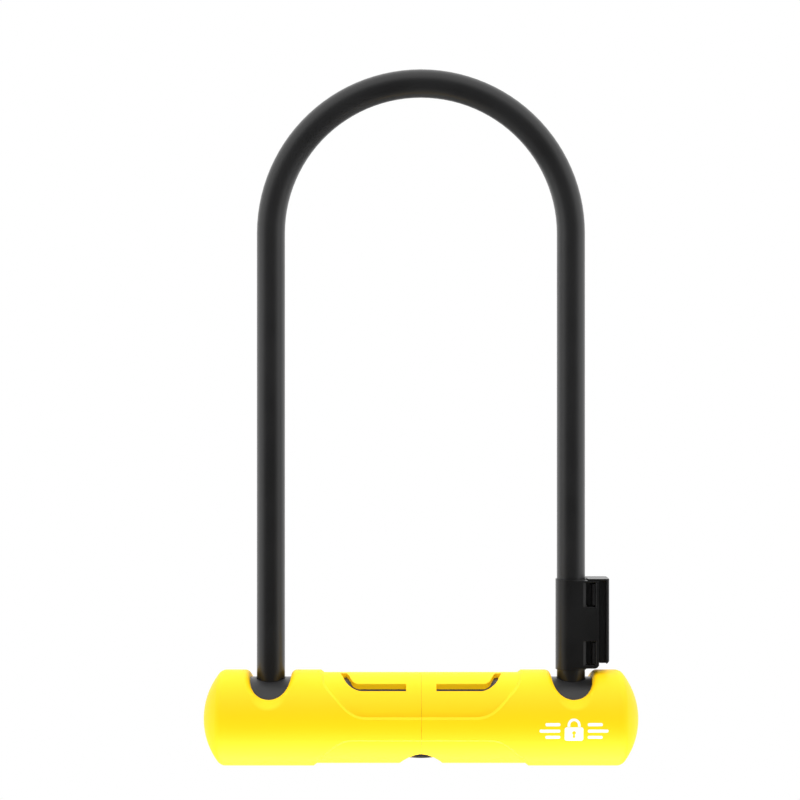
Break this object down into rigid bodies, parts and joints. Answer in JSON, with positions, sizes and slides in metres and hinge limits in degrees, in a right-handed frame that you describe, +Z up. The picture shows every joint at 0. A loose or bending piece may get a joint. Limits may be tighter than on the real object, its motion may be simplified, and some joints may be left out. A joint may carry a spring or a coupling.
{
  "type": "bicycle u lock",
  "caption": "Bicycle U lock: coated steel shackle with a bracket clip on one leg, pushed into a round crossbar in a two-part shell, with bolts, cam and lock cylinder inside.",
  "frame": {"origin": "middle of the lock's footprint, at the lowest line of the crossbar, with the lock upright", "axes": "+X along the crossbar towards the leg with the clip, +Z up through the shackle's arch, +Y to the back"},
  "size_m": [0.172, 0.0374, 0.2757],
  "materials": {
    "yellow_shell": "satin yellow moulded plastic",
    "black_tube": "satin black powder coat",
    "black_coating": "satin black vinyl coating",
    "black_plastic": "fine-grained black nylon",
    "shackle_steel": "hardened steel",
    "bolt_steel": "ground steel",
    "steel_fastener": "zinc-plated steel",
    "zinc_casting": null,
    "cylinder_brass": "turned brass"
  },
  "bodies": {
    "crossbar": {"lock_tube": "black_tube", "cover_left": "yellow_shell", "cover_right": "yellow_shell", "tube_end_plug_left": "black_plastic", "tube_end_plug_right": "black_plastic", "leg_socket_left": "zinc_casting", "leg_socket_right": "zinc_casting", "carrier_lower": "zinc_casting", "carrier_upper": "zinc_casting", "carrier_screws": "steel_fastener", "cylinder_body": "cylinder_brass", "socket_pin_left": "steel_fastener", "socket_pin_right": "steel_fastener", "carrier_pin_left": "steel_fastener", "carrier_pin_right": "steel_fastener"},
    "shackle": {"shackle_bar": "shackle_steel", "shackle_coating": "black_coating", "clip_body": "black_plastic", "clip_rail": "black_plastic"},
    "plug": {"plug": "cylinder_brass", "cam_disc": "steel_fastener", "shutter_spring": "bolt_steel"},
    "bolt_left": {"bolt_left": "bolt_steel"},
    "bolt_right": {"bolt_right": "bolt_steel"},
    "wafers_upper": {"wafers_upper": "cylinder_brass"},
    "wafers_lower": {"wafers_lower": "cylinder_brass"},
    "shutter": {"keyhole_shutter": "bolt_steel"}
  },
  "joints": [
    {"name": "shackle_lift", "type": "slide", "parent": "crossbar", "child": "shackle", "axis": [0, 0, 1], "range_m": [0, 0.06]},
    {"name": "key_turn", "type": "hinge", "parent": "crossbar", "child": "plug", "pos_m": [0, 0, 0.01875], "axis": [0, 0, 1], "range_deg": [0, 90]},
    {"name": "bolt_left_slide", "type": "slide", "parent": "crossbar", "child": "bolt_left", "axis": [-1, 0, 0], "range_m": [0, 0.004]},
    {"name": "bolt_right_slide", "type": "slide", "parent": "crossbar", "child": "bolt_right", "axis": [1, 0, 0], "range_m": [0, 0.004]},
    {"name": "wafer_slide", "type": "slide", "parent": "plug", "child": "wafers_upper", "axis": [0, 1, 0], "range_m": [0, 0.0008]},
    {"name": "wafer_counter_slide", "type": "slide", "parent": "plug", "child": "wafers_lower", "axis": [0, -1, 0], "range_m": [0, 0.0008]},
    {"name": "shutter_slide", "type": "slide", "parent": "plug", "child": "shutter", "axis": [1, 0, 0], "range_m": [0, 0.003], "stiffness_N_per_m": 50, "springref_m": -0.001, "deforming": ["shutter_spring"]}
  ],
  "couplings": [
    {"joint": "bolt_left_slide", "follows": "bolt_right_slide", "ratio": 1},
    {"joint": "key_turn", "follows": "bolt_right_slide", "rad_per_m": 392.69},
    {"joint": "wafer_counter_slide", "follows": "wafer_slide", "ratio": 1}
  ]
}
